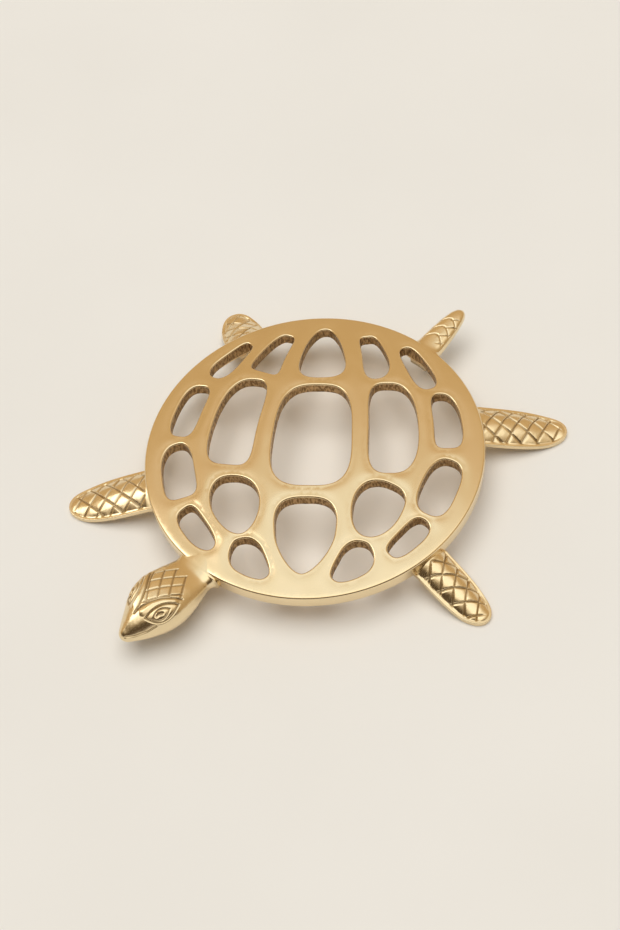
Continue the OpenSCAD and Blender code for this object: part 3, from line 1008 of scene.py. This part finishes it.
def cast_brass(name, dull, bright, stretch):
    """Rough metal as cast, speckled between a dull and a bright colour, on the walls of the openings, where
    the colours are painted shade, and underneath.
    """
    material, add = node_material(name)
    pits = noise(add, PITS, detail=6, stretch=stretch)
    bump = add("ShaderNodeBump", {"Height": pits, "Strength": PIT_STRENGTH, "Distance": PIT_DEPTH})
    specks = noise(add, SPECKS, detail=5, stretch=stretch)
    add_shader(add, {
        "Base Color": ramp(add, specks, [(0.4, dull), (0.6, bright)]),
        "Roughness": span(add, pits, *CAST_ROUGHNESS),
        "Normal": bump.outputs["Normal"],
        "Metallic": 1.0,
    })
    return material


def paper_floor(name):
    """Matt, pale table top with the faintest mottling."""
    material, add = node_material(name)
    add_shader(add, {
        "Base Color": ramp(add, noise(add, MOTTLES, detail=4), [(0.3, FLOOR_DULL), (0.7, FLOOR_PALE)]),
        "Roughness": span(add, noise(add, FLOOR_GRAIN, detail=3), *FLOOR_ROUGHNESS),
        "Specular IOR Level": FLOOR_SHEEN,
    })
    return material


# Pieces

shell_brass = brass("satin brass", smooth=0.17, rough=0.24, grain=0.10)
limb_brass = brass("carved brass", smooth=0.19, rough=0.29, grain=0.26)
screw_brass = brass("screw brass", smooth=0.24, rough=0.36, grain=0.2)
# The openings' walls carry painted shade: their dark browns stand in for the shade inside the openings.
shaded_wall_brass = cast_brass("walls with painted shade", WALL_SHADE_DARK, WALL_SHADE_BROWN, stretch=(1.3, 1.3, 0.5))
under_brass = cast_brass("rough cast underside", UNDER_DULL, UNDER_BRASS, stretch=(0.3, 0.3, 0.3))

make_piece(shell_surface(), "shell_casting", "shell", [shell_brass, shaded_wall_brass, under_brass])
for limb in FLIPPERS:
    node = limb + "_flipper"
    make_piece(flipper_surface(limb), node + "_casting", node, [limb_brass])
head = round_surface(
    "head", HEAD_ROWS, head_cuts, stations=230, around=320, flare=3.5, ridge_shift=0.8, lug_w=12.0,
)
make_piece(head, "head_casting", "head", [limb_brass])
tail = round_surface(
    "tail", TAIL_ROWS, tail_cuts, stations=140, around=200, flare=3.0, ridge_shift=0.0, lug_w=9.0,
)
make_piece(tail, "tail_casting", "tail", [limb_brass])
for limb in PLACES:
    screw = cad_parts[limb + "_screw"]
    screw.data.materials.clear()
    screw.data.materials.append(screw_brass)


# Floor

FLOOR_R = 8000.0
FLOOR_STEPS = 96


def floor_surface():
    """A wide, flat, round table top."""
    surface = Surface()
    plan = round_ring(FLOOR_R, FLOOR_STEPS)
    surface.fill([surface.add(np.c_[plan, np.zeros(len(plan))])])
    return surface


floor = make_object(floor_surface(), "floor", [paper_floor("pale table")])


# Camera

# Angles in degrees and distances in metres
CAMERA_AZIMUTH = 50.388
CAMERA_ELEVATION = 55.051
CAMERA_ROLL = -9.754
CAMERA_DISTANCE = 0.726123
CAMERA_SHIFT = (-0.001508, -0.006489)
FOCAL_PIXELS = 1656
IMAGE_HEIGHT = 930
SENSOR_W = 36
CAMERA_BEARING = CAMERA_AZIMUTH - 90


def make_camera():
    """The photograph's view, which looks at the shell's axis at the height of the rim."""
    roll = math.radians(CAMERA_ROLL)
    back = towards(CAMERA_BEARING, CAMERA_ELEVATION)
    level = towards(CAMERA_AZIMUTH, 0)
    upright = back.cross(level)
    right = level * math.cos(roll) + upright * math.sin(roll)
    up = upright * math.cos(roll) - level * math.sin(roll)
    target = Vector((0, 0, RIM_TOP * MM))
    place = target + back * CAMERA_DISTANCE + right * CAMERA_SHIFT[0] + up * CAMERA_SHIFT[1]
    data = bpy.data.cameras.new("camera")
    data.sensor_width = SENSOR_W
    data.lens = SENSOR_W * FOCAL_PIXELS / IMAGE_HEIGHT
    holder = bpy.data.objects.new("camera", data)
    holder.matrix_world = Matrix.Translation(place) @ Matrix((right, up, back)).transposed().to_4x4()
    bpy.context.scene.collection.objects.link(holder)
    bpy.context.scene.camera = holder


# Light

# Matt surfaces get an even light and one soft lamp. Metal mirrors a room with a tan back, a warm and a dark
# side towards the camera, a bright ceiling and a window. The camera sees a plain backdrop. The sides of the
# room are given as steps of height and colour, from the horizon at 0 to the zenith at 1.
EVEN_LIGHT = (0.33, 0.33, 0.33)
BACKDROP = (0.83, 0.78, 0.695)
LAMP_PLACE = (170, 86)
LAMP_WIDTH = 58
LAMP_STRENGTH = 2.02
WINDOW = (2.6, 2.55, 2.4)
WINDOW_PLACE = (-143, 49)
WINDOW_EDGE = (0.945, 0.98)
ROOM = [
    (0.0, (0.59, 0.413, 0.229)),
    (0.60, (0.658, 0.475, 0.261)),
    (0.78, (0.749, 0.572, 0.384)),
    (0.85, (0.797, 0.670, 0.494)),
    (0.90, (0.925, 0.855, 0.735)),
    (0.93, (0.985, 0.97, 0.895)),
    (1.0, (1.05, 1.06, 1.05)),
]
FRONT_EDGE = (-0.65, 0.15)
WARM_SIDE = [
    (0.0, (0.50, 0.36, 0.20)),
    (0.42, (0.50, 0.36, 0.20)),
    (0.58, (0.62, 0.48, 0.30)),
    (0.70, (0.85, 0.74, 0.58)),
    (0.80, (1.30, 1.24, 1.10)),
    (1.0, (1.30, 1.28, 1.20)),
]
DARK_BEARING = -60
DARK_EDGE = (0.2, 0.6)
DARK_SIDE = [
    (0.0, (0.15, 0.10, 0.06)),
    (0.25, (0.07, 0.045, 0.025)),
    (0.50, (0.08, 0.055, 0.03)),
    (0.62, (0.30, 0.22, 0.13)),
    (0.72, (0.85, 0.74, 0.58)),
    (0.80, (1.50, 1.43, 1.28)),
    (0.90, (1.35, 1.31, 1.20)),
    (1.0, (1.30, 1.28, 1.20)),
]


def share_towards(add, direction, way, edge):
    """How far a direction faces a way, from 0 to 1 between the two cosines of a soft edge."""
    facing = add("ShaderNodeVectorMath", {0: direction, 1: way}, operation="DOT_PRODUCT").outputs["Value"]
    limits = {"Value": facing, "From Min": edge[0], "From Max": edge[1]}
    return add("ShaderNodeMapRange", limits, interpolation_type="SMOOTHSTEP").outputs["Result"]


def make_world():
    """A room of light that depends on the direction and on the kind of ray."""
    world = bpy.data.worlds.new("studio")
    bpy.context.scene.world = world
    world.use_nodes = True
    add = node_adder(world.node_tree)
    direction = add("ShaderNodeTexCoord").outputs["Generated"]
    height = add("ShaderNodeSeparateXYZ", {0: direction}).outputs["Z"]
    level = add("ShaderNodeVectorMath", {0: direction, 1: (1, 1, 0)}, operation="MULTIPLY").outputs["Vector"]
    bearing = add("ShaderNodeVectorMath", {0: level}, operation="NORMALIZE").outputs["Vector"]

    dark_share = share_towards(add, bearing, towards(DARK_BEARING, 0), DARK_EDGE)
    front = mixed(add, dark_share, ramp(add, height, WARM_SIDE), ramp(add, height, DARK_SIDE))
    front_share = share_towards(add, bearing, towards(CAMERA_BEARING, 0), FRONT_EDGE)
    around = mixed(add, front_share, ramp(add, height, ROOM), front)
    window_share = share_towards(add, direction, towards(*WINDOW_PLACE), WINDOW_EDGE)
    mirrored = mixed(add, window_share, around, WINDOW)

    ray = add("ShaderNodeLightPath").outputs
    matt = mixed(add, ray["Is Camera Ray"], EVEN_LIGHT, BACKDROP)
    colour = mixed(add, ray["Is Glossy Ray"], matt, mirrored)
    background = add("ShaderNodeBackground", {"Color": colour})
    add("ShaderNodeOutputWorld", {"Surface": background.outputs["Background"]})


def make_lamp():
    """One very wide, soft lamp overhead. Glossy metal reflects the room and its window, not the lamp."""
    lamp = bpy.data.lights.new("key", "SUN")
    lamp.angle = math.radians(LAMP_WIDTH)
    lamp.energy = LAMP_STRENGTH
    holder = bpy.data.objects.new("key", lamp)
    holder.rotation_euler = towards(*LAMP_PLACE).to_track_quat("Z", "Y").to_euler()
    holder.visible_glossy = False
    bpy.context.scene.collection.objects.link(holder)


make_world()
make_lamp()
make_camera()
bpy.context.scene.view_settings.view_transform = "Standard"
